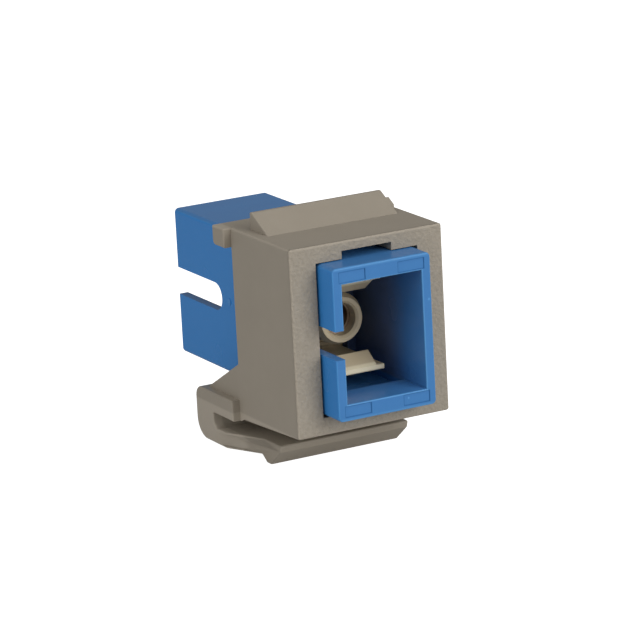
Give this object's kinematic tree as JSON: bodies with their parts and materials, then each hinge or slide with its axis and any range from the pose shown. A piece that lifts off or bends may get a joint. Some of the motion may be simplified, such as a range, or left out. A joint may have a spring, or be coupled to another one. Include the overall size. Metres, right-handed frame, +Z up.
{
  "type": "fibre optic coupler module",
  "caption": "Grey snap-in housing with a flexing latch, holding a blue square push-pull fibre adapter with a keyed plug port at each end",
  "frame": {"origin": "The optical mating point: on the common axis of both ports, halfway along the split sleeve, where the two ferrules meet.", "axes": "The front port faces -Y and the rear port +Y. +X is to the right seen from the front. +Z is up, with the fixed ridge on top and the springing latch below."},
  "size_m": [0.016, 0.0284, 0.0217],
  "materials": {
    "grey_plastic": "fine matt grain",
    "blue_plastic": "smooth moulded, satin gloss",
    "beige_plastic": "smooth moulded",
    "sleeve_bronze": "phosphor bronze, drawn and slit"
  },
  "bodies": {
    "module": {"housing": "grey_plastic", "front_shell": "blue_plastic", "rear_shell": "blue_plastic", "front_latch_carrier": "beige_plastic", "rear_latch_carrier": "beige_plastic", "split_sleeve": "sleeve_bronze"},
    "latch": {"latch_arm": "grey_plastic"},
    "front_top_hook": {"front_upper_hook": "beige_plastic"},
    "front_bottom_hook": {"front_lower_hook": "beige_plastic"},
    "rear_top_hook": {"rear_upper_hook": "beige_plastic"},
    "rear_bottom_hook": {"rear_lower_hook": "beige_plastic"}
  },
  "joints": [
    {"name": "latch_flex", "type": "hinge", "parent": "module", "child": "latch", "pos_m": [0, 0.00122, -0.01075], "axis": [-1, 0, 0], "range_deg": [0, 11], "stiffness_Nm_per_rad": 0.3},
    {"name": "front_upper_hook_flex", "type": "hinge", "parent": "module", "child": "front_top_hook", "pos_m": [0, -0.00167, 0.00392], "axis": [-1, 0, 0], "range_deg": [0, 9], "stiffness_Nm_per_rad": 0.045},
    {"name": "front_lower_hook_flex", "type": "hinge", "parent": "module", "child": "front_bottom_hook", "pos_m": [0, -0.00167, -0.00392], "axis": [1, 0, 0], "range_deg": [0, 9], "stiffness_Nm_per_rad": 0.045},
    {"name": "rear_upper_hook_flex", "type": "hinge", "parent": "module", "child": "rear_top_hook", "pos_m": [0, 0.00167, 0.00392], "axis": [1, 0, 0], "range_deg": [0, 9], "stiffness_Nm_per_rad": 0.045},
    {"name": "rear_lower_hook_flex", "type": "hinge", "parent": "module", "child": "rear_bottom_hook", "pos_m": [0, 0.00167, -0.00392], "axis": [-1, 0, 0], "range_deg": [0, 9], "stiffness_Nm_per_rad": 0.045}
  ]
}
